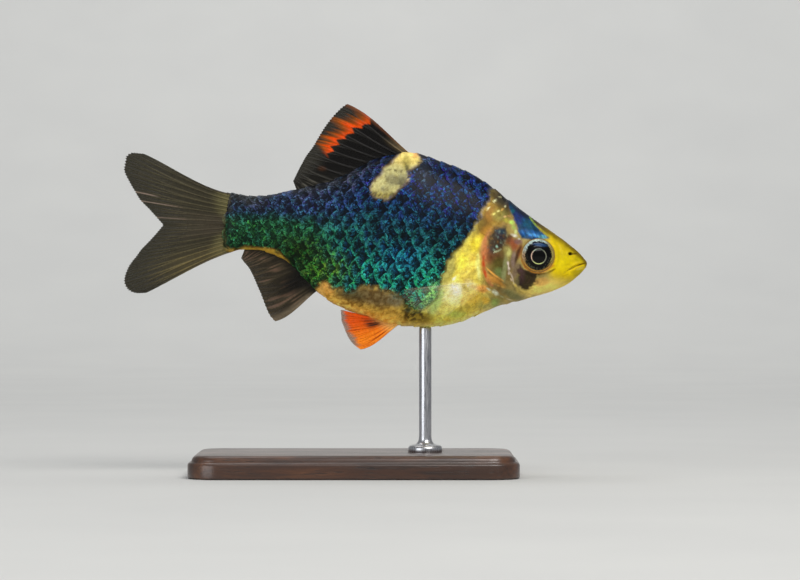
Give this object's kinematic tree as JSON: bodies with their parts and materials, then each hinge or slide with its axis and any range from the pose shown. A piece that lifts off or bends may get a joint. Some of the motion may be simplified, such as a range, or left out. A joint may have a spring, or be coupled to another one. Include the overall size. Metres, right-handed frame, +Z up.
{
  "type": "tiger barb",
  "caption": "Life-size still model of a green tiger barb with raised fins and fin rays, held nose slightly down over a small flat base by one slim rod.",
  "frame": {"origin": "centre of the whole model's box on the plane of the base's underside", "axes": "+X towards the snout, +Y towards the fish's left flank, +Z up"},
  "size_m": [0.0599, 0.024, 0.0478],
  "materials": {
    "skin": "glossy scaled skin, dark blue-green with cream patches",
    "eye": "high gloss, black pupil in a gold and black iris",
    "fin": "satin, smoky membrane with darker rays",
    "paired_fin": "satin, orange membrane with paler rays",
    "clear_fin": "satin, almost clear membrane with pale rays",
    "base_wood": "dark stained walnut, satin",
    "rod_steel": "brushed"
  },
  "bodies": {
    "root": {"head": "skin", "trunk": "skin", "tail_stem": "skin", "gill_cover_left": "skin", "gill_cover_right": "skin", "eye_left": "eye", "eye_right": "eye", "dorsal_fin": "fin", "anal_fin": "fin", "tail_fin_upper": "fin", "tail_fin_lower": "fin", "pelvic_fin_left": "paired_fin", "pelvic_fin_right": "paired_fin", "pectoral_fin_left": "clear_fin", "pectoral_fin_right": "clear_fin", "stand_base": "base_wood", "stand_rod": "rod_steel"}
  },
  "joints": []
}
